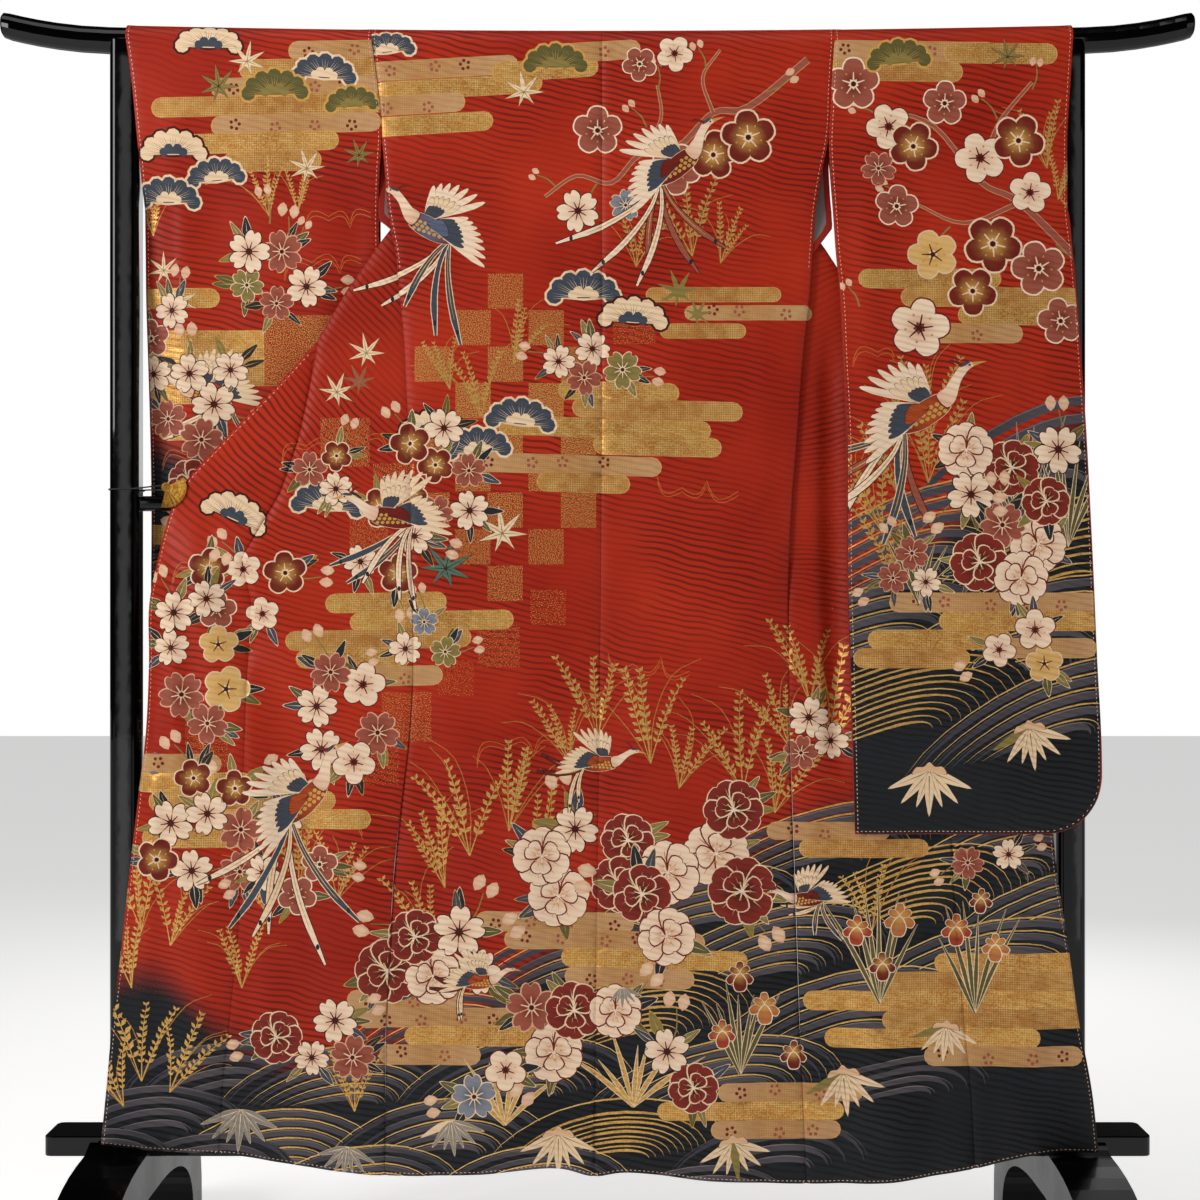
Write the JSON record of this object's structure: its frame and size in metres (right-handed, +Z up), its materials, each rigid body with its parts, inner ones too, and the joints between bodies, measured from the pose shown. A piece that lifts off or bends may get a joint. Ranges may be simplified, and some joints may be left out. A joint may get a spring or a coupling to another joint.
{
  "type": "furisode on kimono stand",
  "caption": "Long-sleeved silk kimono spread flat over a lacquered rod stand, back side displayed, fronts held out by small fan clips.",
  "frame": {"origin": "on the floor under the middle of the stand, centred on the overall box", "axes": "+Z up; -Y towards the viewer, whom the garment's back faces; +X to the viewer's right along the bar"},
  "size_m": [1.712, 0.68, 1.8097],
  "materials": {
    "satin_silk": "satin silk with a woven stripe, dyed and gold-printed",
    "silk_lining": "plain silk lining, grey",
    "lacquered_wood": "gloss black lacquer",
    "gilt_brass": "pressed and gilt",
    "black_cord": "thin braided cord"
  },
  "bodies": {
    "root": {"body_left": "satin_silk", "body_right": "satin_silk", "sleeve_left": "satin_silk", "sleeve_right": "satin_silk", "okumi_left": "satin_silk", "okumi_right": "satin_silk", "collar": "satin_silk", "bar": "lacquered_wood", "mid_rail": "lacquered_wood", "post_left": "lacquered_wood", "post_right": "lacquered_wood", "plank": "lacquered_wood", "foot_left": "lacquered_wood", "foot_right": "lacquered_wood", "fan_clip_left": "gilt_brass", "fan_clip_right": "gilt_brass", "clip_cord_left": "black_cord", "clip_cord_right": "black_cord"}
  },
  "joints": []
}
